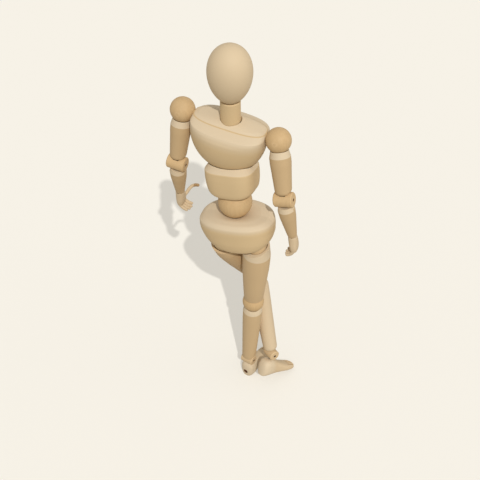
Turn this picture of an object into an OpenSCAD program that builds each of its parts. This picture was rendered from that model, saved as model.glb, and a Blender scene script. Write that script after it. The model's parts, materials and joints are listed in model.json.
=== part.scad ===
// Wooden artist's lay figure, strung with springs over ball and barrel joints.
// Millimetres. +Z is up, the figure faces +Y before its pelvis turns, +X is its right hand side.
// The origin is the point of the right sole under the ankle.

/* [Torso] */
// Waist ball radius
waist_r = 11.85; // [11.2:0.05:12.2]
// Height of the chest's tilting axis above the waist ball's centre
chest_up = 51; // [50:0.5:53]
// Radius of the chest's round bowl, seen from the front
chest_r = 26; // [25:0.5:26.5]
// Half the depth of the chest
chest_half_d = 16.5; // [15.5:0.5:18]
// Half the width of the abdomen
abdomen_half_w = 17.6; // [16:0.2:19]
// Half the depth of the abdomen
abdomen_half_d = 14.3; // [13:0.1:15]
// Half the width of the pelvis
pelvis_half_w = 27.8; // [26:0.2:30]
// Half the depth of the pelvis
pelvis_half_d = 18; // [17:0.2:19]
// Shoulder centre from the middle of the chest
shoulder_out = 33.8; // [33.4:0.1:34.4]
// Shoulder centre above the chest's axis
shoulder_up = 7.2; // [6.8:0.1:7.4]
// Neck pivot above the chest's axis
neck_up = 10.4; // [10:0.1:10.8]
// Hip centre from the middle of the pelvis
hip_out = 12.8; // [12.4:0.1:13.4]
// Hip centre below the waist ball's centre
hip_down = 36.8; // [36.4:0.1:37.4]

/* [Head and neck] */
// Head radius
head_r = 14.4; // [13.5:0.1:15.5]
// Head height
head_h = 40.6; // [39:0.2:41]
// How much fuller the crown is than the chin
head_egg = 0.09; // [0.02:0.01:0.16]
// Middle of the head above the neck pivot
head_up = 35.1; // [34.6:0.1:36]
// Neck radius
neck_r = 6.65; // [6.2:0.05:6.9]

/* [Arms] */
// Shoulder ball radius
shoulder_r = 8.5; // [8.2:0.05:8.7]
// Shoulder centre to elbow centre
upper_arm_len = 41.1; // [39:0.1:44]
// Upper arm radius
upper_arm_r = 7.1; // [6.8:0.05:7.4]
// Elbow barrel radius
elbow_r = 5.25; // [5:0.05:5.5]
// Elbow barrel length
elbow_w = 13; // [12:0.2:14]
// Elbow centre to wrist centre
forearm_len = 34.7; // [33:0.1:37]
// Forearm radius
forearm_r = 5.95; // [5.7:0.05:6.3]
// Wrist ball radius
wrist_r = 2.75; // [2.6:0.05:2.9]

/* [Legs] */
// Hip ball radius
hip_r = 7; // [6.8:0.05:7.2]
// Hip centre to knee centre
thigh_len = 61.2; // [60:0.2:64]
// Thigh radius
thigh_r = 10.1; // [9.6:0.1:10.4]
// Knee ball radius
knee_r = 8.15; // [7.9:0.05:8.4]
// Knee centre to ankle centre
shin_len = 73.3; // [71:0.1:76]
// Shin radius
shin_r = 7.45; // [7.2:0.05:7.8]
// Ankle barrel radius
ankle_r = 5; // [4.8:0.05:5.2]
// Ankle barrel length
ankle_w = 12.5; // [11.5:0.1:13]
// Ankle centre above the sole
ankle_h = 19; // [18.8:0.1:19.6]

/* [Wire, pins and fits] */
// Cross pin radius
pin_r = 1; // [0.9:0.05:1.1]
// Radius of the springs' wire
wire_r = 0.54; // [0.5:0.02:0.58]
// Radius of a spring's coil
coil_r = 1.9; // [1.7:0.1:2]
// Gap between a ball and its seat
seat_gap = 0.35; // [0.3:0.05:0.45]
// Gap between a turning pin and its hole
run_gap = 0.05; // [0.03:0.01:0.08]

/* [Pose] */
// Pelvis lean, tilt and turn
pelvis_pose = [-7, -4.3, -22.5]; // [-40:0.1:40]
// Waist turn, abdomen bend and chest tilt
spine_pose = [-1.9, -2.2, 12.9]; // [-16:0.1:16]
// Neck nod and lean
neck_pose = [8.8, -4.6]; // [-12:0.1:12]
// Left arm: swing, raise, twist and elbow bend
left_arm_pose = [-1.3, -0.4, 0, 19.7]; // [-30:0.1:30]
// Right arm: swing, raise, twist and elbow bend
right_arm_pose = [-7.3, -17.5, -1.4, 16]; // [-30:0.1:30]
// Left leg: swing, spread, twist and knee bend
left_leg_pose = [32.2, -9.2, 2.2, -42]; // [-45:0.1:45]
// Right leg: swing, spread, twist and knee bend
right_leg_pose = [7.8, 10.5, -10.8, -0.7]; // [-45:0.1:45]
// Left foot pitch, roll and turn
left_foot_pose = [-17.8, -2, -60.4]; // [-70:0.1:70]
// Right foot turn, flat on the floor
right_foot_turn = -39.2; // [-70:0.1:70]
// Left hand pitch, lean and turn from the forearm
left_hand_pose = [6, -10, 40]; // [-90:1:90]
// Right hand pitch, lean and turn from the forearm
right_hand_pose = [10, 12, -30]; // [-90:1:90]

/* [Hidden] */
$fn = 64;
wood = [0.78, 0.68, 0.53];
ball_wood = [0.80, 0.66, 0.48];
steel = [0.62, 0.62, 0.60];

// A joint's slot lets the wire of an eye swing this far each way
slot_swing = 30;
chest_tilts = [-18, 24];
raise_swing = 42;
wide_swing = 44;
slot_w = 1.9;
slot_w_two = 4.2;
slot_w_ankle = 5.4;
slot_hub_r = 2.6;
eye_r = pin_r + wire_r + 0.06;
eye_step = 1.05;
shank_r = 0.5;
coil_pitch = 1.3;
coil_groove = 0.4;
spring_bore_r = coil_r + 0.5;
pin_hole_r = pin_r + 0.03;

// Pegs that the waist, shoulder and hip balls turn on
waist_peg_r = 3;
waist_peg_len = 26;
side_peg_r = 2.2;
shoulder_peg_len = 20;
hip_peg_len = 13;
neck_dowel_r = 3;
neck_dowel_len = 9;
foot_peg_r = 1;
foot_peg_len = 15;

// Rims of the turned limbs, above or below the joint centres
upper_arm_rim = 6.5;
elbow_rim = 4.6;
elbow_edge = 1.2;
forearm_rim = 4.8;
wrist_rim = 2;
thigh_rim = 3;
knee_rim_up = 4.2;
knee_rim_down = 6;
ankle_rim = 4.4;
rim_band = 4.5;

function shift(v) = [[1, 0, 0, v.x], [0, 1, 0, v.y], [0, 0, 1, v.z], [0, 0, 0, 1]];
function about_x(a) = [[1, 0, 0, 0], [0, cos(a), -sin(a), 0], [0, sin(a), cos(a), 0], [0, 0, 0, 1]];
function about_y(a) = [[cos(a), 0, sin(a), 0], [0, 1, 0, 0], [-sin(a), 0, cos(a), 0], [0, 0, 0, 1]];
function about_z(a) = [[cos(a), -sin(a), 0, 0], [sin(a), cos(a), 0, 0], [0, 0, 1, 0], [0, 0, 0, 1]];
function turned(a) = about_z(a[2]) * about_y(a[1]) * about_x(a[0]);
function place_of(m) = [m[0][3], m[1][3], m[2][3]];

// Frames of the joints. Index 0 is the left side and 1 the right side
sides = [-1, 1];
arm_pose = [left_arm_pose, right_arm_pose];
leg_pose = [left_leg_pose, right_leg_pose];
hand_pose = [left_hand_pose, right_hand_pose];
foot_pose = [left_foot_pose, [0, 0, right_foot_turn]];

function hip_of(pelvis, i) = pelvis * shift([sides[i] * hip_out, 0, -hip_down]);
function thigh_of(hip, p) = hip * about_x(p[0]) * about_y(p[1]) * about_z(p[2]);
function shin_of(thigh, p) = thigh * shift([0, 0, -thigh_len]) * about_x(p[3]);
function ankle_of(shin) = place_of(shin * shift([0, 0, -shin_len]));

// The waist stands where it puts the right ankle straight above the origin
pelvis_turned = turned(pelvis_pose);
right_thigh_turned = thigh_of(hip_of(pelvis_turned, 1), right_leg_pose);
right_ankle_drop = ankle_of(shin_of(right_thigh_turned, right_leg_pose));
pelvis_at = shift([0, 0, ankle_h] - right_ankle_drop) * pelvis_turned;

waist_at = pelvis_at * about_z(spine_pose[0]);
abdomen_at = waist_at * about_x(spine_pose[1]);
chest_at = abdomen_at * shift([0, 0, chest_up]) * about_y(spine_pose[2]);
neck_at = chest_at * shift([0, 0, neck_up]) * about_x(neck_pose[0]) * about_y(neck_pose[1]);
head_at = neck_at * shift([0, 0, head_up]);

shoulder_at = [for (i = [0, 1])
    chest_at * shift([sides[i] * shoulder_out, 0, shoulder_up]) * about_x(arm_pose[i][0])];
upper_arm_at = [for (i = [0, 1]) shoulder_at[i] * about_y(arm_pose[i][1]) * about_z(arm_pose[i][2])];
elbow_at = [for (i = [0, 1]) upper_arm_at[i] * shift([0, 0, -upper_arm_len]) * about_x(arm_pose[i][3] / 2)];
forearm_at = [for (i = [0, 1]) upper_arm_at[i] * shift([0, 0, -upper_arm_len]) * about_x(arm_pose[i][3])];
wrist_at = [for (i = [0, 1]) forearm_at[i] * shift([0, 0, -forearm_len])];
hand_at = [for (i = [0, 1]) wrist_at[i] * turned(hand_pose[i])];

hip_at = [for (i = [0, 1]) hip_of(pelvis_at, i) * about_z(leg_pose[i][2])];
thigh_at = [for (i = [0, 1]) thigh_of(hip_of(pelvis_at, i), leg_pose[i])];
knee_at = [for (i = [0, 1]) thigh_at[i] * shift([0, 0, -thigh_len]) * about_x(leg_pose[i][3] / 2)];
shin_at = [for (i = [0, 1]) shin_of(thigh_at[i], leg_pose[i])];
ankle_at = [for (i = [0, 1]) shift(ankle_of(shin_at[i])) * turned(foot_pose[i])];

// Lofts: rings of points, counter-clockwise seen from the end of the list
function signed_pow(v, e) = sign(v) * pow(abs(v), e);
function oval(half_w, half_d, fullness, count) = [for (k = [0 : count - 1])
    [half_w * signed_pow(cos(360 * k / count), 2 / fullness),
     half_d * signed_pow(sin(360 * k / count), 2 / fullness)]];

module loft(rings) {
    count = len(rings[0]);
    last = len(rings) - 1;
    points = [for (ring = rings) each ring];
    walls = [for (i = [0 : last - 1], j = [0 : count - 1], half = [0, 1])
        let (next = (j + 1) % count)
        half == 0
            ? [i * count + j, (i + 1) * count + j, (i + 1) * count + next]
            : [i * count + j, (i + 1) * count + next, i * count + next]];
    bottom = [for (j = [0 : count - 1]) j];
    top = [for (j = [count - 1 : -1 : 0]) last * count + j];
    polyhedron(points, concat([bottom], walls, [top]));
}

// A block of level ovals, from rows of height, half width, half depth and fullness
module oval_block(rows, count) {
    loft([for (row = rows) [for (p = oval(row[1], row[2], row[3], count)) [p.x, p.y, row[0]]]]);
}

// A round bar along a path, as for a finger
function unit(v) = v / norm(v);
function path_way(path, k) = unit(path[min(k + 1, len(path) - 1)] - path[max(k - 1, 0)]);

module bar(path, radii, count) {
    loft([for (k = [0 : len(path) - 1])
        let (
            way = path_way(path, k),
            across = unit(cross([1, 0.3, 0], way)),
            up = cross(way, across)
        )
        [for (j = [0 : count - 1])
            path[k] + radii[k] * (cos(360 * j / count) * across + sin(360 * j / count) * up)]]);
}

// Cross pin along X, and along Y
module pin_x(half_len, radius) {
    rotate([0, 90, 0])
        cylinder(h = 2 * half_len, r = radius, center = true);
}

module pin_y(half_len, radius) {
    rotate([90, 0, 0])
        cylinder(h = 2 * half_len, r = radius, center = true);
}

// Slot for a wire eye on a pin along X. It opens upwards, between two angles from straight up
module slot_x(width, reach, hub_r, from_angle, to_angle) {
    mouth = 0.8 * hub_r / slot_hub_r;
    rotate([90, 0, 90])
        linear_extrude(width, center = true) {
            circle(hub_r);
            polygon([
                [-mouth, 0],
                [mouth, 0],
                [mouth + reach * tan(to_angle), reach],
                [-mouth + reach * tan(from_angle), reach]]);
        }
}

module slot_both_ways(width, reach) {
    slot_x(width, reach, slot_hub_r, -slot_swing, slot_swing);
    rotate([180, 0, 0])
        slot_x(width, reach, slot_hub_r, -slot_swing, slot_swing);
}

// Wire eye round a pin along X, with its straight shank going down to a length
module eye_x(ring_r, radius, shank_radius, shank_len) {
    rotate([0, 90, 0])
        rotate_extrude()
            translate([ring_r, 0])
                circle(radius, $fn = 24);
    translate([0, 0, -shank_len])
        cylinder(h = shank_len - ring_r, r = shank_radius, $fn = 24);
}

// Close-wound coil between two heights
module coil(low, high) {
    turns = floor((high - low) / coil_pitch);
    pitch = (high - low) / turns;
    rotate_extrude()
        polygon(concat(
            [[0, low]],
            [for (k = [0 : turns - 1], part = [0, 1])
                [coil_r - (1 - part) * coil_groove, low + (k + part / 2) * pitch]],
            [[coil_r - coil_groove, high], [0, high]]));
}

// Turned piece from a half outline of radius and height
module turned_piece(outline) {
    rotate_extrude()
        polygon(outline);
}

// Torso pieces
pelvis_top = -9.6;
pelvis_bottom = -33;
pelvis_rows = [
    [pelvis_bottom, 0.72, 0.60, 2.6],
    [-32.2, 0.80, 0.70, 2.7],
    [-30.4, 0.89, 0.83, 2.8],
    [-27.6, 0.965, 0.94, 2.9],
    [-24, 1, 0.99, 3],
    [-19.5, 1, 1, 3],
    [-15, 0.965, 0.985, 3],
    [-12.6, 0.92, 0.95, 2.9],
    [-10.8, 0.85, 0.885, 2.8],
    [-9.9, 0.77, 0.80, 2.7],
    [pelvis_top, 0.68, 0.72, 2.6]];
pelvis_points = 36;

module pelvis() {
    color(wood)
        multmatrix(pelvis_at)
            difference() {
                oval_block([for (row = pelvis_rows)
                    [row[0], row[1] * pelvis_half_w, row[2] * pelvis_half_d, row[3]]], pelvis_points);
                sphere(waist_r + seat_gap);
                translate([0, 0, -waist_peg_len - 1])
                    cylinder(h = waist_peg_len, r = waist_peg_r + run_gap);
                for (side = sides)
                    translate([side * hip_out, 0, -hip_down]) {
                        sphere(hip_r + seat_gap);
                        cylinder(h = hip_peg_len + 1, r = side_peg_r + run_gap);
                    }
            }
}

module waist_ball() {
    color(ball_wood)
        multmatrix(waist_at)
            difference() {
                union() {
                    sphere(waist_r);
                    translate([0, 0, -waist_peg_len])
                        cylinder(h = waist_peg_len, r = waist_peg_r);
                }
                slot_x(slot_w, 2 * waist_r, slot_hub_r, -slot_swing, slot_swing);
                pin_x(2 * waist_r, pin_hole_r);
            }
}

module waist_pin() {
    color(steel)
        multmatrix(waist_at)
            pin_x(0.8 * waist_r, pin_r);
}

abdomen_rows = [
    [9.8, 0.76, 0.80, 2.8],
    [10.8, 0.83, 0.865, 2.9],
    [13.5, 0.92, 0.935, 3],
    [18, 0.985, 0.99, 3.1],
    [25, 1, 1, 3.2],
    [31.8, 1, 1, 3.2],
    [36.6, 0.875, 0.86, 3.1]];
abdomen_points = 36;
bowl_steps = 20;

// The chest's bowl as a body of revolution about Y, grown by a gap
module bowl(gap) {
    rotate([-90, 0, 0])
        rotate_extrude()
            polygon([for (k = [0 : bowl_steps])
                let (t = 180 * k / bowl_steps - 90)
                [(chest_r + gap) * cos(t), (chest_half_d + gap) * sin(t)]]);
}

module abdomen() {
    color(wood)
        multmatrix(abdomen_at)
            difference() {
                oval_block([for (row = abdomen_rows)
                    [row[0], row[1] * abdomen_half_w, row[2] * abdomen_half_d, row[3]]], abdomen_points);
                sphere(waist_r + seat_gap);
                translate([0, 0, chest_up])
                    bowl(seat_gap + 0.1);
                cylinder(h = chest_up, r = spring_bore_r);
            }
}

module spine_spring() {
    coil_top = chest_up - chest_r - 1;
    color(steel)
        multmatrix(abdomen_at) {
            rotate([180, 0, 0])
                eye_x(eye_r, wire_r, shank_r, waist_r + 2);
            coil(waist_r + 1.5, coil_top);
            translate([0, 0, chest_up])
                rotate([0, 0, 90])
                    eye_x(eye_r, wire_r, shank_r, chest_up - coil_top + 0.5);
        }
}

// Chest: round bowl, upright ends for the shoulders, sloping shoulder tops and a bevel at front and back
chest_bowl_steps = 9;
chest_points = 40;
chest_top_rows = [
    [1.5, 0.995, 0.985, 2.6],
    [4, 0.985, 0.93, 2.8],
    [5.6, 0.975, 0.86, 2.9],
    [8.6, 0.955, 0.68, 3],
    [9.8, 0.91, 0.605, 3],
    [10.6, 0.80, 0.57, 2.9],
    [12.6, 0.36, 0.52, 2.5]];

// The bowl's ovals fill out near its rim, above the abdomen's seat
function bowl_row(t) = [-chest_r * cos(t), chest_r * sin(t), chest_half_d * sin(t), 2 + 0.5 * pow(t / 90, 6)];

module chest() {
    bowl_rows = [for (k = [0 : chest_bowl_steps]) bowl_row(5 + 85 * k / chest_bowl_steps)];
    top_rows = [for (row = chest_top_rows) [row[0], row[1] * chest_r, row[2] * chest_half_d, row[3]]];
    socket_r = neck_r + seat_gap;
    flare_h = 4;
    flare_r = socket_r + 2.2;
    color(wood)
        multmatrix(chest_at)
            difference() {
                oval_block(concat(bowl_rows, top_rows), chest_points);
                translate([0, 0, neck_up]) {
                    sphere(socket_r);
                    cylinder(h = flare_h, r1 = socket_r, r2 = flare_r);
                    pin_x(neck_pin_half, pin_hole_r);
                }
                for (side = sides)
                    translate([side * shoulder_out, 0, shoulder_up]) {
                        sphere(shoulder_r + seat_gap);
                        rotate([0, -90 * side, 0])
                            cylinder(h = shoulder_peg_len + 1, r = side_peg_r + run_gap);
                    }
                pin_y(chest_pin_half, pin_hole_r);
                rotate([180, 0, 90])
                    slot_x(slot_w, 2 * chest_r, slot_hub_r, chest_tilts[0], chest_tilts[1]);
            }
}

chest_pin_half = 11;

module chest_pin() {
    color(steel)
        multmatrix(chest_at)
            pin_y(chest_pin_half - 0.5, pin_r);
}

neck_pin_half = 11;

module neck_pin() {
    color(steel)
        multmatrix(chest_at)
            translate([0, 0, neck_up])
                pin_x(neck_pin_half - 0.5, pin_r);
}

chin_cut = head_h / 2 - 1.8;

module neck() {
    neck_top = head_up - chin_cut - seat_gap;
    color(wood)
        multmatrix(neck_at)
            difference() {
                union() {
                    rotate_extrude()
                        intersection() {
                            union() {
                                circle(neck_r);
                                square([neck_r, neck_top]);
                            }
                            translate([0, -neck_r])
                                square([neck_r, neck_r + neck_top]);
                        }
                    cylinder(h = neck_top + neck_dowel_len, r = neck_dowel_r);
                }
                multmatrix(about_y(-neck_pose[1]))
                    pin_x(2 * neck_r, pin_r + run_gap);
            }
}

head_steps = 32;

module head() {
    color(wood)
        multmatrix(head_at)
            difference() {
                turned_piece([for (k = [0 : head_steps])
                    let (t = 180 * k / head_steps - 90)
                    [head_r * cos(t) * (1 + head_egg * sin(t)), head_h / 2 * sin(t)]]);
                translate([0, 0, -chin_cut - head_r])
                    cylinder(h = head_r, r = head_r);
                translate([0, 0, -head_h / 2])
                    cylinder(h = head_h / 2 - chin_cut + neck_dowel_len + 1, r = neck_dowel_r + run_gap);
            }
}

// Arm pieces
module shoulder_ball(i) {
    color(ball_wood)
        multmatrix(shoulder_at[i])
            difference() {
                union() {
                    sphere(shoulder_r);
                    rotate([0, -90 * sides[i], 0])
                        cylinder(h = shoulder_peg_len, r = side_peg_r);
                }
                rotate([180, 0, 90])
                    slot_x(slot_w, 2 * shoulder_r, slot_hub_r,
                        i == 0 ? -raise_swing : -slot_swing, i == 0 ? slot_swing : raise_swing);
                pin_y(2 * shoulder_r, pin_hole_r);
            }
}

module shoulder_pin(i) {
    color(steel)
        multmatrix(shoulder_at[i])
            pin_y(0.8 * shoulder_r, pin_r);
}

module upper_arm(i) {
    low = -upper_arm_len + elbow_rim;
    low_r = elbow_r + 0.45;
    color(wood)
        multmatrix(upper_arm_at[i])
            difference() {
                turned_piece([
                    [0, low],
                    [low_r - 0.8, low],
                    [low_r, low + elbow_edge],
                    [0.94 * upper_arm_r, -0.5 * upper_arm_len],
                    [upper_arm_r, -0.38 * upper_arm_len],
                    [upper_arm_r, -upper_arm_rim - rim_band],
                    [0.85 * upper_arm_r, -upper_arm_rim],
                    [0, -upper_arm_rim]]);
                sphere(shoulder_r + seat_gap);
                translate([0, 0, -upper_arm_len]) {
                    pin_x(2 * upper_arm_r, elbow_r + seat_gap);
                    cylinder(h = upper_arm_len, r = spring_bore_r);
                }
            }
}

module arm_spring(i) {
    coil_top = -shoulder_r - 1.5;
    coil_low = -upper_arm_len + elbow_r + 1.5;
    color(steel)
        multmatrix(upper_arm_at[i]) {
            rotate([0, 0, 90])
                eye_x(eye_r, wire_r, shank_r, -coil_top + 0.5);
            coil(coil_low, coil_top);
            translate([-eye_step, 0, -upper_arm_len])
                rotate([180, 0, 0])
                    eye_x(eye_r, wire_r, shank_r, coil_low + upper_arm_len + 0.5);
        }
}

barrel_edge = 0.6;

module barrel(radius, width) {
    rotate([0, 90, 0])
        turned_piece([
            [0, -width / 2],
            [radius - barrel_edge, -width / 2],
            [radius, -width / 2 + barrel_edge],
            [radius, width / 2 - barrel_edge],
            [radius - barrel_edge, width / 2],
            [0, width / 2]]);
}

module elbow(i) {
    color(ball_wood)
        multmatrix(elbow_at[i])
            difference() {
                barrel(elbow_r, elbow_w);
                slot_both_ways(slot_w_two, 2 * elbow_r);
                pin_x(elbow_w, pin_hole_r);
            }
}

module elbow_pin(i) {
    color(steel)
        multmatrix(elbow_at[i])
            pin_x(0.38 * elbow_w, pin_r);
}

wrist_stem_r = 1.2;
wrist_stem_len = 7;

module forearm(i) {
    low = -forearm_len + wrist_rim;
    color(wood)
        multmatrix(forearm_at[i])
            difference() {
                turned_piece([
                    [0, low],
                    [wrist_r, low],
                    [1.16 * wrist_r, low + 0.8],
                    [0.94 * forearm_r, -0.42 * forearm_len],
                    [forearm_r, -forearm_rim - 0.8 * rim_band],
                    [0.87 * forearm_r, -forearm_rim],
                    [0, -forearm_rim]]);
                pin_x(2 * forearm_r, elbow_r + seat_gap);
                translate([0, 0, -forearm_len]) {
                    sphere(wrist_r + 0.03);
                    cylinder(h = forearm_len, r = wrist_stem_r + 0.03);
                    translate([0, 0, wrist_stem_len + 0.5])
                        cylinder(h = forearm_len, r = spring_bore_r);
                }
            }
}

module forearm_spring(i) {
    coil_top = -elbow_r - 1.5;
    coil_low = -forearm_len + wrist_stem_len + 1.5;
    color(steel)
        multmatrix(forearm_at[i]) {
            translate([eye_step, 0, 0])
                eye_x(eye_r, wire_r, shank_r, -coil_top + 0.5);
            coil(coil_low, coil_top);
            translate([0, 0, coil_low - 3])
                cylinder(h = 3.5, r = shank_r, $fn = 24);
        }
}

wrist_pin_r = 0.6;
wrist_wire_r = 0.35;
wrist_eye_r = wrist_pin_r + wrist_wire_r + 0.06;
wrist_hub_r = 1.55;
wrist_slot_w = 1.1;

module wrist(i) {
    color(ball_wood)
        multmatrix(wrist_at[i])
            difference() {
                union() {
                    sphere(wrist_r);
                    cylinder(h = wrist_stem_len, r = wrist_stem_r);
                }
                rotate([180, 0, 0])
                    slot_x(wrist_slot_w, 2 * wrist_r, wrist_hub_r, -slot_swing, slot_swing);
                pin_x(2 * wrist_r, wrist_pin_r + 0.03);
                translate([0, 0, wrist_stem_len - 3])
                    cylinder(h = 4, r = shank_r + 0.03, $fn = 24);
            }
}

module wrist_pin(i) {
    color(steel)
        multmatrix(wrist_at[i])
            pin_x(0.8 * wrist_r, wrist_pin_r);
}

// Hand: palm, four fingers that curl towards the palm side and a thumb
palm_rows = [
    [-10.2, 4.3, 1.7, 2.6],
    [-8.6, 4.5, 2.1, 2.6],
    [-6.2, 4.2, 2.35, 2.5],
    [-4, 3.4, 2.4, 2.4],
    [-2.2, 2.8, 2.2, 2.2]];
palm_points = 20;
finger_lengths = [7.2, 8.6, 8.9, 7.8];
finger_gap = 2.15;
finger_r = 1.05;
finger_root = -9;
finger_fan = 5;
finger_curl = 16;
finger_points = 8;
finger_steps = 6;

// Points of a finger that bends a little more at each step
function finger_path(root, length, lean, curl, k = 0) =
    k > finger_steps
        ? []
        : concat([root], finger_path(
            root + length / finger_steps
                * [sin(lean), sin(curl * k / 2) * cos(lean), -cos(curl * k / 2) * cos(lean)],
            length, lean, curl, k + 1));

// Finger radius: full along its length, round at the tip
function finger_radii(radius) = [for (k = [0 : finger_steps])
    radius * (1 - 0.12 * k / finger_steps) * sqrt(1 - pow(k / (finger_steps + 0.35), 8))];

module hand(i) {
    thumb_root = [3.2, 0.6, -4.2];
    thumb_len = 8.6;
    thumb_lean = 38;
    thumb_curl = 8;
    color(wood)
        multmatrix(hand_at[i])
            mirror([i == 0 ? 1 : 0, 0, 0])
                difference() {
                    union() {
                        oval_block(palm_rows, palm_points);
                        for (f = [0 : 3])
                            bar(finger_path([(1.5 - f) * finger_gap, 0, finger_root], finger_lengths[f],
                                (1.5 - f) * finger_fan, finger_curl), finger_radii(finger_r), finger_points);
                        bar(finger_path(thumb_root, thumb_len, thumb_lean, thumb_curl),
                            finger_radii(1.2 * finger_r), finger_points);
                    }
                    sphere(wrist_r + seat_gap);
                    translate([0, 0, -hand_hook_len])
                        cylinder(h = hand_hook_len, r = wrist_wire_r + 0.03, $fn = 24);
                }
}

hand_hook_len = 6.5;

module hand_hook(i) {
    color(steel)
        multmatrix(wrist_at[i])
            rotate([0, 90, 0])
                rotate_extrude()
                    translate([wrist_eye_r, 0])
                        circle(wrist_wire_r, $fn = 24);
    color(steel)
        multmatrix(hand_at[i])
            translate([0, 0, -hand_hook_len + 0.2])
                cylinder(h = hand_hook_len - 0.2 - wrist_eye_r, r = wrist_wire_r - 0.02, $fn = 24);
}

// Leg pieces
module hip_ball(i) {
    color(ball_wood)
        multmatrix(hip_at[i])
            difference() {
                union() {
                    sphere(hip_r);
                    cylinder(h = hip_peg_len, r = side_peg_r);
                }
                rotate([180, 0, 0])
                    slot_x(slot_w_two, 2 * hip_r, slot_hub_r, -wide_swing, wide_swing);
                pin_x(2 * hip_r, pin_hole_r);
            }
}

module hip_pin(i) {
    color(steel)
        multmatrix(hip_at[i])
            pin_x(0.8 * hip_r, pin_r);
}

module thigh(i) {
    color(wood)
        multmatrix(thigh_at[i])
            difference() {
                turned_piece([
                    [0, -thigh_len + knee_rim_up],
                    [shin_r, -thigh_len + knee_rim_up],
                    [0.86 * thigh_r, -0.62 * thigh_len],
                    [0.97 * thigh_r, -0.36 * thigh_len],
                    [thigh_r, -0.2 * thigh_len],
                    [thigh_r, -thigh_rim - 0.8 * rim_band],
                    [0.86 * thigh_r, -thigh_rim],
                    [0, -thigh_rim]]);
                sphere(hip_r + seat_gap);
                translate([0, 0, -thigh_len]) {
                    sphere(knee_r + seat_gap);
                    cylinder(h = thigh_len, r = spring_bore_r);
                }
            }
}

module thigh_spring(i) {
    coil_top = -hip_r - 1.5;
    coil_low = -thigh_len + knee_r + 1.5;
    color(steel) {
        multmatrix(hip_at[i])
            rotate([0, 90, 0])
                rotate_extrude()
                    translate([eye_r, 0])
                        circle(wire_r, $fn = 24);
        multmatrix(thigh_at[i]) {
            translate([0, 0, coil_top - 0.5])
                cylinder(h = -coil_top + 0.5 - eye_r, r = shank_r, $fn = 24);
            coil(coil_low, coil_top);
            translate([-eye_step, 0, -thigh_len])
                rotate([180, 0, 0])
                    eye_x(eye_r, wire_r, shank_r, coil_low + thigh_len + 0.5);
        }
    }
}

module knee(i) {
    color(ball_wood)
        multmatrix(knee_at[i])
            difference() {
                sphere(knee_r);
                slot_both_ways(slot_w_two, 2 * knee_r);
                pin_x(2 * knee_r, pin_hole_r);
            }
}

module knee_pin(i) {
    color(steel)
        multmatrix(knee_at[i])
            pin_x(0.8 * knee_r, pin_r);
}

module shin(i) {
    low = -shin_len + ankle_rim;
    color(wood)
        difference() {
            multmatrix(shin_at[i])
                difference() {
                    turned_piece([
                        [0, low],
                        [ankle_r - 0.8, low],
                        [ankle_r, low + 1],
                        [0.86 * shin_r, -0.56 * shin_len],
                        [0.97 * shin_r, -0.3 * shin_len],
                        [shin_r, -knee_rim_down - rim_band],
                        [0.84 * shin_r, -knee_rim_down],
                        [0, -knee_rim_down]]);
                    sphere(knee_r + seat_gap);
                    translate([0, 0, -shin_len])
                        cylinder(h = shin_len, r = spring_bore_r);
                }
            multmatrix(ankle_at[i])
                pin_x(2 * shin_r, ankle_r + seat_gap);
        }
}

module shin_spring(i) {
    coil_top = -knee_r - 1.5;
    coil_low = -shin_len + ankle_r + 1.8;
    color(steel) {
        multmatrix(shin_at[i]) {
            translate([eye_step, 0, 0])
                eye_x(eye_r, wire_r, shank_r, -coil_top + 0.5);
            coil(coil_low, coil_top);
            translate([0, 0, -shin_len + eye_r])
                cylinder(h = coil_low + shin_len - eye_r + 0.5, r = shank_r, $fn = 24);
        }
        multmatrix(ankle_at[i])
            rotate([0, 90, 0])
                rotate_extrude()
                    translate([eye_r, 0])
                        circle(wire_r, $fn = 24);
    }
}

module ankle(i) {
    color(ball_wood)
        multmatrix(ankle_at[i])
            difference() {
                barrel(ankle_r, ankle_w);
                slot_x(slot_w_ankle, 2 * ankle_r, slot_hub_r, -wide_swing, wide_swing);
                pin_x(ankle_w, pin_hole_r);
                translate([0, 0, -2 * ankle_r])
                    cylinder(h = 2 * ankle_r, r = foot_peg_r + 0.03);
            }
}

module ankle_pin(i) {
    color(steel)
        multmatrix(ankle_at[i])
            pin_x(0.38 * ankle_w, pin_r);
}

module foot_peg(i) {
    color(steel)
        multmatrix(ankle_at[i])
            translate([0, 0, -foot_peg_len])
                cylinder(h = foot_peg_len - slot_hub_r - 0.2, r = foot_peg_r);
}

// Foot: rows of distance ahead of the ankle, half width and height above the sole, from toe to heel
foot_rows = [
    [34.6, 2.2, 2.6],
    [33.6, 4.1, 3.9],
    [31.6, 5.7, 4.8],
    [28, 7, 5.6],
    [23.5, 7.5, 6.7],
    [18, 7, 8.6],
    [12.5, 6, 11.2],
    [8, 5.4, 13],
    [3, 5.2, 13.55],
    [-2, 5.5, 13.55],
    [-5.5, 5.5, 13.3],
    [-8.5, 4.7, 12],
    [-10.2, 3.4, 9.8],
    [-11, 1.9, 7.4]];
foot_points = 24;
foot_fullness = 2.8;
sole_cut = 1;
heel_hole_r = 1.2;
heel_hole_up = 6.5;
heel_hole_len = 9;

module foot(i) {
    color(wood)
        multmatrix(ankle_at[i])
            difference() {
                loft([for (row = foot_rows)
                    [for (p = oval(row[1], (row[2] + sole_cut) / 2, foot_fullness, foot_points))
                        [p.x, row[0], -ankle_h + (row[2] - sole_cut) / 2 + p.y]]]);
                translate([-ankle_h, -ankle_h, -2 * ankle_h])
                    cube([2 * ankle_h, 4 * ankle_h, ankle_h]);
                translate([0, 0, -foot_peg_len - 1])
                    cylinder(h = foot_peg_len + 1, r = foot_peg_r + run_gap);
                translate([0, -heel_hole_len, -ankle_h + heel_hole_up])
                    rotate([90, 0, 0])
                        cylinder(h = heel_hole_len, r = heel_hole_r);
            }
}

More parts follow.
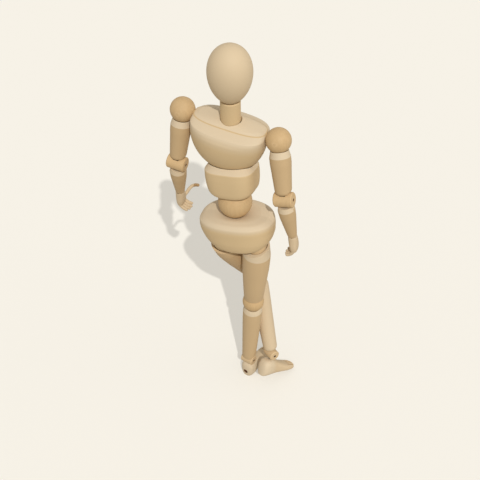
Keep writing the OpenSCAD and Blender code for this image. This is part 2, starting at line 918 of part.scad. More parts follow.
module left_shoulder_ball() shoulder_ball(0);
module left_shoulder_pin() shoulder_pin(0);
module left_upper_arm() upper_arm(0);
module left_arm_spring() arm_spring(0);
module left_elbow() elbow(0);
module left_elbow_pin() elbow_pin(0);
module left_forearm() forearm(0);
module left_forearm_spring() forearm_spring(0);
module left_wrist() wrist(0);
module left_wrist_pin() wrist_pin(0);
module left_hand() hand(0);
module left_hand_hook() hand_hook(0);
module left_hip_ball() hip_ball(0);
module left_hip_pin() hip_pin(0);
module left_thigh() thigh(0);
module left_thigh_spring() thigh_spring(0);
module left_knee() knee(0);
module left_knee_pin() knee_pin(0);
module left_shin() shin(0);
module left_shin_spring() shin_spring(0);
module left_ankle() ankle(0);
module left_ankle_pin() ankle_pin(0);
module left_foot() foot(0);
module left_foot_peg() foot_peg(0);
module right_shoulder_ball() shoulder_ball(1);
module right_shoulder_pin() shoulder_pin(1);
module right_upper_arm() upper_arm(1);
module right_arm_spring() arm_spring(1);
module right_elbow() elbow(1);
module right_elbow_pin() elbow_pin(1);
module right_forearm() forearm(1);
module right_forearm_spring() forearm_spring(1);
module right_wrist() wrist(1);
module right_wrist_pin() wrist_pin(1);
module right_hand() hand(1);
module right_hand_hook() hand_hook(1);
module right_hip_ball() hip_ball(1);
module right_hip_pin() hip_pin(1);
module right_thigh() thigh(1);
module right_thigh_spring() thigh_spring(1);
module right_knee() knee(1);
module right_knee_pin() knee_pin(1);
module right_shin() shin(1);
module right_shin_spring() shin_spring(1);
module right_ankle() ankle(1);
module right_ankle_pin() ankle_pin(1);
module right_foot() foot(1);
module right_foot_peg() foot_peg(1);

pelvis();
waist_ball();
waist_pin();
abdomen();
spine_spring();
chest();
chest_pin();
neck();
neck_pin();
head();
left_shoulder_ball();
left_shoulder_pin();
left_upper_arm();
left_arm_spring();
left_elbow();
left_elbow_pin();
left_forearm();
left_forearm_spring();
left_wrist();
left_wrist_pin();
left_hand();
left_hand_hook();
left_hip_ball();
left_hip_pin();
left_thigh();
left_thigh_spring();
left_knee();
left_knee_pin();
left_shin();
left_shin_spring();
left_ankle();
left_ankle_pin();
left_foot();
left_foot_peg();
right_shoulder_ball();
right_shoulder_pin();
right_upper_arm();
right_arm_spring();
right_elbow();
right_elbow_pin();
right_forearm();
right_forearm_spring();
right_wrist();
right_wrist_pin();
right_hand();
right_hand_hook();
right_hip_ball();
right_hip_pin();
right_thigh();
right_thigh_spring();
right_knee();
right_knee_pin();
right_shin();
right_shin_spring();
right_ankle();
right_ankle_pin();
right_foot();
right_foot_peg();
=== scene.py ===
"""Looks of the wooden lay figure.

Lengths are millimetres in each piece's own frame, with Z along its grain.
"""
import json
from math import cos, exp, pi, radians, sin, sqrt

import bmesh
import bpy
from mathutils import Matrix, Vector


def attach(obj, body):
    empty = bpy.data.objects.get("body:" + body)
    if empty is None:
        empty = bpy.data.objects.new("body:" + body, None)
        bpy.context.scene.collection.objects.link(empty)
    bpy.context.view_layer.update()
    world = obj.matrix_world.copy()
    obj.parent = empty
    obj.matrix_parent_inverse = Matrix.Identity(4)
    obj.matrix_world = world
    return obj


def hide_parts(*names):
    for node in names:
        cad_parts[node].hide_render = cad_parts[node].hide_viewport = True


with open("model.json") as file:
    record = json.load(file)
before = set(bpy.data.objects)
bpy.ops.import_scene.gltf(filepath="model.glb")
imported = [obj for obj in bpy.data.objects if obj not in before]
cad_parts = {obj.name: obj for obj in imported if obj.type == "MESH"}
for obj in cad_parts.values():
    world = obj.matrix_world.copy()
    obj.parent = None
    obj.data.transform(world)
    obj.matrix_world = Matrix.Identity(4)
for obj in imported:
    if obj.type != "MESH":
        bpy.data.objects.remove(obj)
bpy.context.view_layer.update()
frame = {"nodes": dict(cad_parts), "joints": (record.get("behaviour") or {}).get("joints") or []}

MM = 0.001
SIDES = {"left": -1, "right": 1}
scene = bpy.context.scene
scene.view_settings.view_transform = "Standard"

# Camera at the photograph's viewing angle
IMAGE_PX = 480
FOCAL_PX = 835.26
CAMERA_AT = Vector((1.475, -427.66, 566.28))
CAMERA_DOWN = radians(43.951)
CAMERA_ROLL = radians(-5.143)
SENSOR = 36
CLIP_START = 10


def make_camera():
    data = bpy.data.cameras.new("camera")
    data.sensor_fit = "HORIZONTAL"
    data.sensor_width = SENSOR
    data.lens = SENSOR * FOCAL_PX / IMAGE_PX
    data.clip_start = CLIP_START * MM
    camera = bpy.data.objects.new("camera", data)
    scene.collection.objects.link(camera)
    level = Matrix.Rotation(pi / 2 - CAMERA_DOWN, 4, "X") @ Matrix.Rotation(CAMERA_ROLL, 4, "Z")
    camera.matrix_world = Matrix.Translation(CAMERA_AT * MM) @ level
    scene.camera = camera


# Shader nodes
def add(tree, kind, **values):
    node = tree.nodes.new(kind)
    for key, value in values.items():
        setattr(node, key, value)
    return node


def feed(tree, socket, value):
    """Links another node's output to a socket, or sets the socket to a plain value."""
    if hasattr(value, "is_output"):
        tree.links.new(value, socket)
    else:
        socket.default_value = value


def sums(tree, operation, a, b):
    node = add(tree, "ShaderNodeMath", operation=operation)
    feed(tree, node.inputs[0], a)
    feed(tree, node.inputs[1], b)
    return node.outputs["Value"]


def ramp(tree, factor, span, low, high):
    """Colour that runs from low to high over a span of the factor."""
    node = add(tree, "ShaderNodeValToRGB")
    for element, place, colour in zip(node.color_ramp.elements, span, (low, high)):
        element.position = place
        element.color = colour
    tree.links.new(factor, node.inputs["Fac"])
    return node.outputs["Color"]


def mix(tree, factor, a, b, blend="MIX"):
    node = add(tree, "ShaderNodeMix", data_type="RGBA", blend_type=blend)
    for name, value in (("Factor", factor), ("A", a), ("B", b)):
        feed(tree, [s for s in node.inputs if s.name == name and s.enabled][0], value)
    return [s for s in node.outputs if s.enabled][0]


def mix_shaders(tree, factor, first, second):
    node = add(tree, "ShaderNodeMixShader")
    feed(tree, node.inputs["Fac"], factor)
    tree.links.new(first, node.inputs[1])
    tree.links.new(second, node.inputs[2])
    return node.outputs["Shader"]


def coloured(tree, kind, rgb):
    """Output of a plain shader of one colour."""
    node = add(tree, kind)
    node.inputs["Color"].default_value = linear(rgb)
    return node.outputs[0]


def noise(tree, vector, scale, detail, distortion=0.0):
    node = add(tree, "ShaderNodeTexNoise")
    node.inputs["Scale"].default_value = scale
    node.inputs["Detail"].default_value = detail
    node.inputs["Distortion"].default_value = distortion
    tree.links.new(vector, node.inputs["Vector"])
    return node.outputs["Fac"]


def linear(rgb):
    """Linear colour of an sRGB colour given as 0 to 255."""
    shares = [c / 255 for c in rgb]
    return [c / 12.92 if c <= 0.04045 else ((c + 0.055) / 1.055) ** 2.4 for c in shares] + [1]


def grey(value):
    return (value, value, value, 1)


def seen_ray(tree):
    """One for rays that show a surface, straight or mirrored, and nought for rays that light it."""
    path = add(tree, "ShaderNodeLightPath").outputs
    mirrored = sums(tree, "MAXIMUM", path["Is Glossy Ray"], path["Is Transmission Ray"])
    return sums(tree, "MAXIMUM", path["Is Camera Ray"], mirrored)


# Light and stage
SUN_TRAVEL = Vector((-0.166, 0.89, -1))
SUN_STRENGTH = 2.05
SUN_SIZE = radians(0.8)
FILL_TRAVEL = Vector((-0.95, 0.25, -0.22))
FILL_STRENGTH = 0.4
FILL_SIZE = radians(50)
SKY_STRENGTH = 0.5
FLOOR_COLOUR = (246, 241, 230)
FLOOR_BOUNCE = (182, 176, 164)
FLOOR_GLOW = 0.4
FLOOR_HALF = 3000
FLOOR_DROP = 0.05


def make_lamp(name, travel, strength, size):
    data = bpy.data.lights.new(name, "SUN")
    data.energy = strength
    data.angle = size
    lamp = bpy.data.objects.new(name, data)
    scene.collection.objects.link(lamp)
    lamp.rotation_euler = travel.to_track_quat("-Z", "Y").to_euler()


def make_light():
    """Sun and fill, and a white sky that looks like the floor where it is seen."""
    make_lamp("sun", SUN_TRAVEL, SUN_STRENGTH, SUN_SIZE)
    make_lamp("fill", FILL_TRAVEL, FILL_STRENGTH, FILL_SIZE)
    world = bpy.data.worlds.new("studio")
    world.use_nodes = True
    tree = world.node_tree
    sky = tree.nodes["Background"]
    sky.inputs["Color"].default_value = grey(1)
    sky.inputs["Strength"].default_value = SKY_STRENGTH
    backdrop = coloured(tree, "ShaderNodeBackground", FLOOR_COLOUR)
    both = mix_shaders(tree, seen_ray(tree), sky.outputs["Background"], backdrop)
    tree.links.new(both, tree.nodes["World Output"].inputs["Surface"])
    scene.world = world


def make_floor():
    """Pale paper whose shadow is soft to the eye, and which throws little light back at the figure."""
    mesh = bpy.data.meshes.new("floor")
    corners = [(-1, -1), (1, -1), (1, 1), (-1, 1)]
    points = [Vector((x * FLOOR_HALF, y * FLOOR_HALF, -FLOOR_DROP)) * MM for x, y in corners]
    mesh.from_pydata(points, [], [range(len(corners))])
    floor = bpy.data.objects.new("floor", mesh)
    scene.collection.objects.link(floor)
    material = bpy.data.materials.new("floor_paper")
    material.use_nodes = True
    tree = material.node_tree
    tree.nodes.remove(tree.nodes["Principled BSDF"])
    paper = coloured(tree, "ShaderNodeBsdfDiffuse", FLOOR_COLOUR)
    glow = coloured(tree, "ShaderNodeEmission", FLOOR_COLOUR)
    bounce = coloured(tree, "ShaderNodeBsdfDiffuse", FLOOR_BOUNCE)
    seen = mix_shaders(tree, FLOOR_GLOW, paper, glow)
    both = mix_shaders(tree, seen_ray(tree), bounce, seen)
    tree.links.new(both, tree.nodes["Material Output"].inputs["Surface"])
    mesh.materials.append(material)


# Sizes of the pieces, and how the hands and feet are set
WAIST_R = 11.85
SEAT_GAP = 0.35
CHEST_UP = 51
CHEST_R = 26
CHEST_D = 16.5
CHEST_RISE = 0.19
ABDOMEN = (17.6, 14.3)
PELVIS = (27.2, 18)
SHOULDER_OUT = 33.8
SHOULDER_UP = 7.2
SHOULDER_R = 8.5
NECK_UP = 10.4
NECK_R = 6.65
HIP_OUT = 12.8
HIP_DOWN = 36.8
HIP_R = 7
HEAD_R = 14.4
HEAD_H = 40.5
HEAD_EGG = 0.09
HEAD_UP = 35.1
CHIN_CUT = HEAD_H / 2 - 1.8
UPPER_ARM_LEN = 41.1
UPPER_ARM_R = 7.1
ELBOW_R = 5.25
FOREARM_LEN = 34.7
FOREARM_R = 5.95
WRIST_R = 2.75
WRIST_STEM_R = 1.2
WRIST_CUP = 4.45
THIGH_LEN = 61.2
THIGH_R = 10.1
KNEE_R = 8.15
SHIN_LEN = 73.3
SHIN_R = 7.45
SHIN_LOW_R = 5.6
ANKLE_R = 4.3
ANKLE_W = 10.4
FOOT_H = 16.36
PIN_R = 1
PIN_HOLE_R = 1.03
HAND_BEND = 6
HAND_TURN = 90
FOOT_TURN = {"left": (-2.5, -7.69, 1.07), "right": (0, 0, -1.81)}
FOOT_SHIFT = {"left": (-0.93, -0.62, -4.05), "right": (-0.86, 2.42, -2.64)}

# Frames of the pieces, from the joints
joints = {j["name"]: (Vector(j["pos_m"]) / MM, Vector(j["axis"])) for j in frame["joints"]}


def pivot(name):
    return joints[name][0]


def axis(name):
    return joints[name][1]


def turn(degrees, way):
    return Matrix.Rotation(radians(degrees), 4, way)


def frame_of(origin, up, across):
    """Rigid frame with Z along up and X as near across as that allows."""
    z = up.normalized()
    x = (across - across.dot(z) * z).normalized()
    m = Matrix((x, z.cross(x), z)).transposed().to_4x4()
    m.translation = origin
    return m


def find_frames():
    at = {}
    hips = pivot("right_hip_turn") - pivot("left_hip_turn")
    shoulders = pivot("right_shoulder_swing") - pivot("left_shoulder_swing")
    waist = pivot("waist_turn")
    chest = pivot("chest_tilt")
    at["pelvis"] = frame_of(waist, axis("waist_turn"), hips)
    at["abdomen"] = frame_of(waist, chest - waist, axis("abdomen_bend"))
    at["chest"] = frame_of(chest, shoulders.cross(axis("chest_tilt")), shoulders)
    at["neck"] = frame_of(pivot("neck_nod"), axis("head_turn"), shoulders)
    at["head"] = at["neck"] @ Matrix.Translation((0, 0, HEAD_UP))
    for side, sign in SIDES.items():
        shoulder = pivot(side + "_shoulder_swing")
        elbow = pivot(side + "_elbow_turn")
        wrist = pivot(side + "_wrist_bend")
        hip = pivot(side + "_thigh_swing")
        knee = pivot(side + "_knee_turn")
        ankle = pivot(side + "_ankle_bend")
        arm_raise = axis(side + "_arm_raise")
        elbow_x = axis(side + "_elbow_turn")
        knee_x = axis(side + "_knee_turn")
        palm = turn(sign * HAND_TURN, "Z") @ turn(HAND_BEND, "X")
        pitch, tip, yaw = FOOT_TURN[side]
        tread = Matrix.Translation(FOOT_SHIFT[side]) @ turn(yaw, "Z") @ turn(tip, "Y") @ turn(pitch, "X")
        at[side + "_shoulder_pin"] = frame_of(shoulder, arm_raise, axis(side + "_shoulder_swing"))
        at[side + "_upper_arm"] = frame_of(shoulder, shoulder - elbow, elbow_x)
        at[side + "_forearm"] = frame_of(elbow, elbow - wrist, elbow_x)
        at[side + "_hand"] = frame_of(wrist, elbow - wrist, elbow_x) @ palm
        at[side + "_thigh"] = frame_of(hip, hip - knee, knee_x)
        at[side + "_shin"] = frame_of(knee, knee - ankle, knee_x)
        at[side + "_ankle"] = frame_of(ankle, axis(side + "_foot_turn"), axis(side + "_ankle_bend"))
        at[side + "_foot"] = at[side + "_ankle"] @ tread
    return at


# Materials
TRUNK_COLOUR = (211, 185, 143)
# Darker than the trunk's wood: painted shade on the arms, wrists and hands
ARM_SHADED_COLOUR = (198, 170, 129)
LEG_COLOUR = (206, 178, 137)
BALL_COLOUR = (204, 173, 128)
# Colour of painted highlight, for tops and bands that catch the light
HIGHLIGHT_COLOUR = (217, 198, 168)
# Dark brown painted inside bores and holes as shade
BORE_SHADE_COLOUR = (105, 68, 40)
# Colour of painted shade, for creases, lines between the toes, the thumb's tip and the far thigh
SHADE_COLOUR = (150, 112, 70)
LIMB_CONTRAST = 0.05
BALL_CONTRAST = 0.06
BORE_CONTRAST = 0.15
GRAIN_STRETCH = (1, 1, 0.035)
FIBRES = {"scale": 1500, "detail": 5, "distortion": 0.4}
GROWTH_LINES = {"scale": 330, "detail": 3, "distortion": 1.2}
DRIFT = {"scale": 45, "detail": 2}
WIDE_SPAN = (0.3, 0.7)
GROWTH_SPAN = (0.35, 0.6)
FIBRE_LIGHT = 0.3
GROWTH_SHARES = (0.6, 0.8, 1)
WARM = (1, 0.985, 0.955, 1)
EDGE_SPAN = (0.51, 0.6)
EDGE_SHARE = 0.35
EDGE_LIFT = 18
WOOD_ROUGH = (0.66, 0.54)
WOOD_SPECULAR = 0.2
PORE_STRENGTH = 0.25
PORE_DEPTH = 0.08
BORE_SHADE_R = PIN_HOLE_R + 0.02
DRAWN_STEEL = {"scale": 900, "detail": 4}
STEEL_ROUGH = (0.3, 0.48)
SPRING_STEEL = ((0.27, 0.26, 0.25, 1), (0.42, 0.41, 0.39, 1))
PIN_STEEL = ((0.05, 0.045, 0.04, 1), (0.1, 0.09, 0.08, 1))


def within(tree, place, centre, way, radius):
    """One inside a bore of the given axis, nought outside it."""
    offset = add(tree, "ShaderNodeVectorMath", operation="SUBTRACT")
    offset.inputs[1].default_value = centre * MM
    tree.links.new(place, offset.inputs[0])
    across = add(tree, "ShaderNodeVectorMath", operation="CROSS_PRODUCT")
    across.inputs[1].default_value = way
    tree.links.new(offset.outputs["Vector"], across.inputs[0])
    length = add(tree, "ShaderNodeVectorMath", operation="LENGTH")
    tree.links.new(across.outputs["Vector"], length.inputs[0])
    return sums(tree, "LESS_THAN", length.outputs["Value"], radius * MM)


def multiplied(tree, colour, factor, span, low, high):
    """Colour times a ramp of the factor."""
    return mix(tree, 1.0, colour, ramp(tree, factor, span, low, high), "MULTIPLY")


def make_wood(name, rgb, contrast, painted_light=None, bore=None):
    """Turned wood: pores and growth lines along the grain, slow drift, lighter worn edges, satin finish,
    with painted highlight and painted shade mixed in from a share kept on the piece's points, and painted
    shade inside a bore.
    """
    material = bpy.data.materials.new(name)
    material.use_nodes = True
    tree = material.node_tree
    shader = tree.nodes["Principled BSDF"]
    if painted_light:
        place = add(tree, "ShaderNodeAttribute", attribute_name="grain").outputs["Vector"]
    else:
        place = add(tree, "ShaderNodeTexCoord").outputs["Object"]
    stretch = add(tree, "ShaderNodeMapping")
    stretch.inputs["Scale"].default_value = GRAIN_STRETCH
    tree.links.new(place, stretch.inputs["Vector"])
    fibres = noise(tree, stretch.outputs["Vector"], **FIBRES)
    lines = noise(tree, stretch.outputs["Vector"], **GROWTH_LINES)
    drift = noise(tree, place, **DRIFT)
    colour = linear(rgb)
    if painted_light:
        # Painted highlight where the piece's share is above nought, painted shade where it is below
        band = add(tree, "ShaderNodeAttribute", attribute_name="painted_light").outputs["Fac"]
        colour = mix(tree, band, colour, linear(painted_light))
        colour = mix(tree, sums(tree, "MULTIPLY", band, -1), colour, linear(SHADE_COLOUR))
    dark = grey(1 - contrast)
    light = grey(1 + FIBRE_LIGHT * contrast)
    growth = [1 - share * contrast for share in GROWTH_SHARES] + [1]
    colour = multiplied(tree, colour, fibres, WIDE_SPAN, dark, light)
    colour = multiplied(tree, colour, lines, GROWTH_SPAN, growth, grey(1))
    colour = multiplied(tree, colour, drift, WIDE_SPAN, WARM, grey(1))
    edge = add(tree, "ShaderNodeNewGeometry").outputs["Pointiness"]
    worn = ramp(tree, edge, EDGE_SPAN, grey(0), grey(EDGE_SHARE))
    colour = mix(tree, worn, colour, linear([min(255, c + EDGE_LIFT) for c in rgb]))
    if bore:
        # Painted shade inside a bore: the wood within its radius takes the dark bore colour
        colour = mix(tree, within(tree, place, *bore), colour, linear(BORE_SHADE_COLOUR))
    tree.links.new(colour, shader.inputs["Base Color"])
    rough = ramp(tree, lines, WIDE_SPAN, *map(grey, WOOD_ROUGH))
    tree.links.new(rough, shader.inputs["Roughness"])
    shader.inputs["Specular IOR Level"].default_value = WOOD_SPECULAR
    bump = add(tree, "ShaderNodeBump")
    bump.inputs["Strength"].default_value = PORE_STRENGTH
    bump.inputs["Distance"].default_value = PORE_DEPTH * MM
    tree.links.new(fibres, bump.inputs["Height"])
    tree.links.new(bump.outputs["Normal"], shader.inputs["Normal"])
    return material


def make_steel(name, dark, light):
    material = bpy.data.materials.new(name)
    material.use_nodes = True
    tree = material.node_tree
    shader = tree.nodes["Principled BSDF"]
    drawn = noise(tree, add(tree, "ShaderNodeTexCoord").outputs["Object"], **DRAWN_STEEL)
    rough = ramp(tree, drawn, WIDE_SPAN, *map(grey, STEEL_ROUGH))
    tree.links.new(ramp(tree, drawn, WIDE_SPAN, dark, light), shader.inputs["Base Color"])
    tree.links.new(rough, shader.inputs["Roughness"])
    shader.inputs["Metallic"].default_value = 1
    return material


# Outlines. A softness is the step between points and the number of easing passes
ROUND = 72
FULL = 120
BALL_COUNTS = (64, 32)
SEAT_STEPS = 10
FLAT_ENOUGH = 0.004
NO_SIZE = 1e-6


def clamp(v):
    return min(1, max(0, v))


def resample(points, step):
    out = [points[0]]
    for a, b in zip(points, points[1:]):
        gap = sqrt(sum((q - p) ** 2 for p, q in zip(a, b)))
        count = max(1, round(gap / step))
        out += [tuple(p + (q - p) * k / count for p, q in zip(a, b)) for k in range(1, count + 1)]
    return out


def ease(points, passes):
    """Outline with its corners eased. The ends stay where they are."""
    for _ in range(passes):
        threes = zip(points, points[1:], points[2:])
        middle = [tuple((p + 2 * q + r) / 4 for p, q, r in zip(*three)) for three in threes]
        points = [points[0]] + middle + [points[-1]]
    return points


def soften(points, softness, creases=(), edge=1):
    """Finely divided outline, soft except at the creases, which keep a small radius."""
    step, passes = softness
    ends = [0, *creases, len(points) - 1]
    out = points[:1]
    for a, b in zip(ends, ends[1:]):
        out += ease(resample(points[a:b + 1], step), passes)[1:]
    return ease(out, edge)


def thin(points):
    """Outline without the points that lie on the line between their neighbours."""
    if len(points) < 3:
        return points
    first, last = points[0], points[-1]
    way = [q - p for p, q in zip(first, last)]
    size = sum(w * w for w in way)

    def away(point):
        t = sum((p - f) * w for p, f, w in zip(point, first, way)) / size if size else 0
        return sqrt(sum((p - f - t * w) ** 2 for p, f, w in zip(point, first, way)))

    gaps = [away(p) for p in points[1:-1]]
    worst = max(range(len(gaps)), key=gaps.__getitem__)
    if gaps[worst] < FLAT_ENOUGH:
        return [first, last]
    cut_at = worst + 1
    return thin(points[:cut_at + 1])[:-1] + thin(points[cut_at:])


def seat(radius, from_r, to_r, centre, upper, steps=SEAT_STEPS):
    """Points of radius and height on a ball's seat."""
    sign = 1 if upper else -1
    radii = [from_r + (to_r - from_r) * k / steps for k in range(steps + 1)]
    return [(r, centre + sign * sqrt(max(0, radius ** 2 - r ** 2))) for r in radii]


def end_face(radius, z):
    return [(radius * (1 - k / SEAT_STEPS), z) for k in range(1, SEAT_STEPS + 1)]


def belly(shares, radius, length):
    """Outline points from shares of a limb's radius and length."""
    return [(r * radius, -z * length) for r, z in shares]


def angles(count):
    return [2 * pi * k / count for k in range(count)]


def circle_ring(radius, z, count):
    return [(radius * cos(a), radius * sin(a), z) for a in angles(count)]


def signed_power(v, power):
    return (1 if v >= 0 else -1) * abs(v) ** power


def oval_ring(z, half_w, half_d, fullness, back=0.0, rise=0.0, count=FULL):
    """Oval ring, moved along Y by back and tilted so that it rises along Y."""
    power = 2 / fullness
    turns = angles(count)
    flat = [(half_w * signed_power(cos(a), power), half_d * signed_power(sin(a), power)) for a in turns]
    return [(x, y + back, z + y * rise) for x, y in flat]


def oval_stack(rows, size, softness, creases=(), edge=1):
    """Rings of rows of height, width share, depth share, fullness, place along Y and rise along Y."""
    scaled = [(z, w * size[0], d * size[1], f, *more) for z, w, d, f, *more in rows]
    return [oval_ring(*row) for row in soften(scaled, softness, creases, edge)]


# Meshes and objects
SMOOTH_ANGLE = radians(38)


def skin(rings):
    """Mesh over a stack of rings. A ring of no size becomes one point, and an open end is closed flat."""
    mesh = bmesh.new()
    rows = []
    for ring in rings:
        spread = max(max(c) - min(c) for c in zip(*ring))
        points = [ring[0]] if spread < NO_SIZE else ring
        rows.append([mesh.verts.new(Vector(p) * MM) for p in points])
    for low, high in zip(rows, rows[1:]):
        count = max(len(low), len(high))
        for k in range(count):
            n = (k + 1) % count
            corners = [low[k % len(low)], low[n % len(low)], high[n % len(high)], high[k % len(high)]]
            mesh.faces.new([c for j, c in enumerate(corners) if c not in corners[:j]])
    for row in (rows[0], rows[-1]):
        if len(row) > 1:
            mesh.faces.new(row)
    bmesh.ops.recalc_face_normals(mesh, faces=mesh.faces)
    return mesh


def lathe(outline, count, bend=None):
    rings = [circle_ring(r, z, count) for r, z in outline]
    if bend:
        rings = [[bend(*p) for p in ring] for ring in rings]
    return skin(rings)


def ball_mesh(radius, x=0.0, y=0.0, z=0.0):
    mesh = bmesh.new()
    spot = Matrix.Translation(Vector((x, y, z)) * MM)
    around, up = BALL_COUNTS
    bmesh.ops.create_uvsphere(mesh, u_segments=around, v_segments=up, radius=radius * MM, matrix=spot)
    return mesh


def make_object(name, mesh):
    data = bpy.data.meshes.new(name)
    mesh.to_mesh(data)
    mesh.free()
    obj = bpy.data.objects.new(name, data)
    scene.collection.objects.link(obj)
    return obj


def bake(obj):
    """Applies a piece's modifiers to its mesh."""
    evaluated = obj.evaluated_get(bpy.context.evaluated_depsgraph_get())
    data = bpy.data.meshes.new_from_object(evaluated)
    obj.modifiers.clear()
    obj.data = data


def cut(obj, cutter_mesh):
    """Takes a cutter's space out of a piece."""
    cutter = make_object("cutter", cutter_mesh)
    step = obj.modifiers.new("cut", "BOOLEAN")
    step.operation = "DIFFERENCE"
    step.solver = "EXACT"
    step.object = cutter
    bake(obj)
    bpy.data.objects.remove(cutter)


def settle(obj, at, body, wood, tone=None, shade_inside=None, node=None):
    """Places a finished piece in its frame, notes its grain and tone, and hands it to its body.

    A tone above nought is a share of painted highlight, and one below nought a share of painted shade.
    Faces that the given test finds inside a bore or hole take the dark wood as painted shade.
    """
    data = obj.data
    spots = [v.co.copy() for v in data.vertices]
    grain = data.attributes.new("grain", "FLOAT_VECTOR", "POINT")
    band = data.attributes.new("painted_light", "FLOAT", "POINT")
    for k, spot in enumerate(spots):
        grain.data[k].vector = spot
        band.data[k].value = tone(*(spot / MM)) if tone else 0
    data.materials.clear()
    data.materials.append(wood)
    # Faces inside a bore or hole get the dark wood as painted shade
    if shade_inside:
        data.materials.append(bore_shade_wood)
        for face in data.polygons:
            face.material_index = 1 if shade_inside(*(face.center / MM)) else 0
    place = at.copy()
    place.translation = place.translation * MM
    data.transform(place)
    data.shade_smooth()
    data.set_sharp_from_angle(angle=SMOOTH_ANGLE)
    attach(obj, body)
    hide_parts(node or body)


def even_light_share(share):
    """Share of painted light that is the same all over a piece: painted highlight above nought, painted
    shade below it.
    """
    return lambda x, y, z: share


def highlight_above(edge, plain=0):
    """Painted highlight on the band above an edge, where the top catches the light, and the plain share
    below it.
    """
    return lambda x, y, z: 1 if z > edge else plain


def highlight_fade(above, reach):
    """Share of painted highlight: full above an edge, fading out below it."""
    return clamp(1 + above / reach)


# Pelvis
TORSO_SOFTNESS = (0.5, 5)
WAIST_STEPS = 12
PELVIS_EDGE = -13.2
PELVIS_ROWS = [(-35.2, 0.32, 0.30, 2.2, -7), (-34.4, 0.48, 0.43, 2.2, -6.6),
               (-32.8, 0.65, 0.59, 2.3, -5.2), (-30.2, 0.79, 0.76, 2.3, -3),
               (-26.6, 0.90, 0.90, 2.3, -1.2), (-22, 0.975, 0.98, 2.3, 0),
               (-17.4, 1, 1, 2.3, 0), (PELVIS_EDGE, 0.985, 0.985, 2.3, 0),
               (-10.9, 0.87, 0.86, 2.3, 0), (-9.8, 0.64, 0.64, 2.2, 0)]
PELVIS_CREASE = 7
PELVIS_EASE = 3
PELVIS_FADE = 3.5
PELVIS_RISE = 0.2
RISE_FROM = -24
RISE_REACH = 10
PELVIS_LEAN = 0.1
LEAN_FROM = -20
SWING_ROOM = (20, 11, 8)
SWING_TOP = 5


def swing_room():
    """Space under the pelvis for the rim of the right thigh when it swings back."""
    room = bmesh.new()
    _, deep, high = SWING_ROOM
    middle = Vector((HIP_OUT, -deep / 2, SWING_TOP - HIP_DOWN - high / 2))
    place = Matrix.Translation(middle * MM) @ Matrix.Diagonal((*SWING_ROOM, 1))
    bmesh.ops.create_cube(room, size=MM, matrix=place)
    return room


def raise_front(x, y, z):
    """Lifts the pelvis's upper edge towards the belly and leans its lower end to the standing leg."""
    rise = max(0, y) * PELVIS_RISE * clamp((z - RISE_FROM) / RISE_REACH)
    return x + PELVIS_LEAN * max(0, LEAN_FROM - z), y, z + rise


# Painted highlight on the pelvis's top, fading out down its side
def pelvis_tone(x, y, z):
    return highlight_fade(z - max(0, y) * PELVIS_RISE - PELVIS_EDGE, PELVIS_FADE)


def make_pelvis(at):
    socket = WAIST_R + SEAT_GAP
    mouth = sqrt(socket ** 2 - PELVIS_ROWS[-1][0] ** 2)
    stack = oval_stack(PELVIS_ROWS, PELVIS, TORSO_SOFTNESS, (PELVIS_CREASE,), PELVIS_EASE)
    rings = [[raise_front(*p) for p in ring] for ring in stack]
    rings += [circle_ring(r, z, FULL) for r, z in seat(socket, mouth, 0, 0, False, WAIST_STEPS)]
    pelvis = make_object("pelvis_block", skin(rings))
    for sign in SIDES.values():
        cut(pelvis, ball_mesh(HIP_R + SEAT_GAP, sign * HIP_OUT, 0, -HIP_DOWN))
    cut(pelvis, swing_room())
    settle(pelvis, at["pelvis"], "pelvis", trunk_wood, pelvis_tone)


# Abdomen
ABDOMEN_EDGE = 27.3
ABDOMEN_ROWS = [(9.8, 0.80, 0.83, 2.8), (10.6, 0.88, 0.90, 2.9), (12.6, 0.95, 0.955, 3),
                (17, 0.99, 0.99, 3.1), (22, 1, 1, 3.2), (ABDOMEN_EDGE, 0.995, 0.985, 3.2),
                (31.6, 0.80, 0.64, 2.9)]
ABDOMEN_CREASE = 5
ABDOMEN_ARCH = 2.8
ARCH_BELOW = 17
ARCH_REACH = 7.2
CHEST_GAP = SEAT_GAP + 0.1


def arch(x, y, z):
    """Draws the abdomen's lower edge down at its back and front."""
    return x, y, z - ABDOMEN_ARCH * clamp((ARCH_BELOW - z) / ARCH_REACH) * (y / ABDOMEN[1]) ** 2


def make_abdomen(at):
    socket = WAIST_R + SEAT_GAP
    mouth = sqrt(socket ** 2 - ABDOMEN_ROWS[0][0] ** 2)
    stack = oval_stack(ABDOMEN_ROWS, ABDOMEN, TORSO_SOFTNESS, (ABDOMEN_CREASE,))
    rings = [circle_ring(r, z, FULL) for r, z in seat(socket, 0, mouth, 0, True, WAIST_STEPS)]
    rings += [[arch(*p) for p in ring] for ring in stack]
    abdomen = make_object("abdomen_block", skin(rings))
    bowl = ball_mesh(1)
    size = Matrix.Diagonal((CHEST_R + CHEST_GAP, CHEST_D + CHEST_GAP, CHEST_R + CHEST_GAP, 1))
    bmesh.ops.transform(bowl, matrix=Matrix.Translation((0, 0, CHEST_UP * MM)) @ size, verts=bowl.verts)
    cut(abdomen, bowl)
    # Painted highlight on the band above the abdomen's upper edge
    settle(abdomen, at["abdomen"], "abdomen", trunk_wood, highlight_above(ABDOMEN_EDGE))


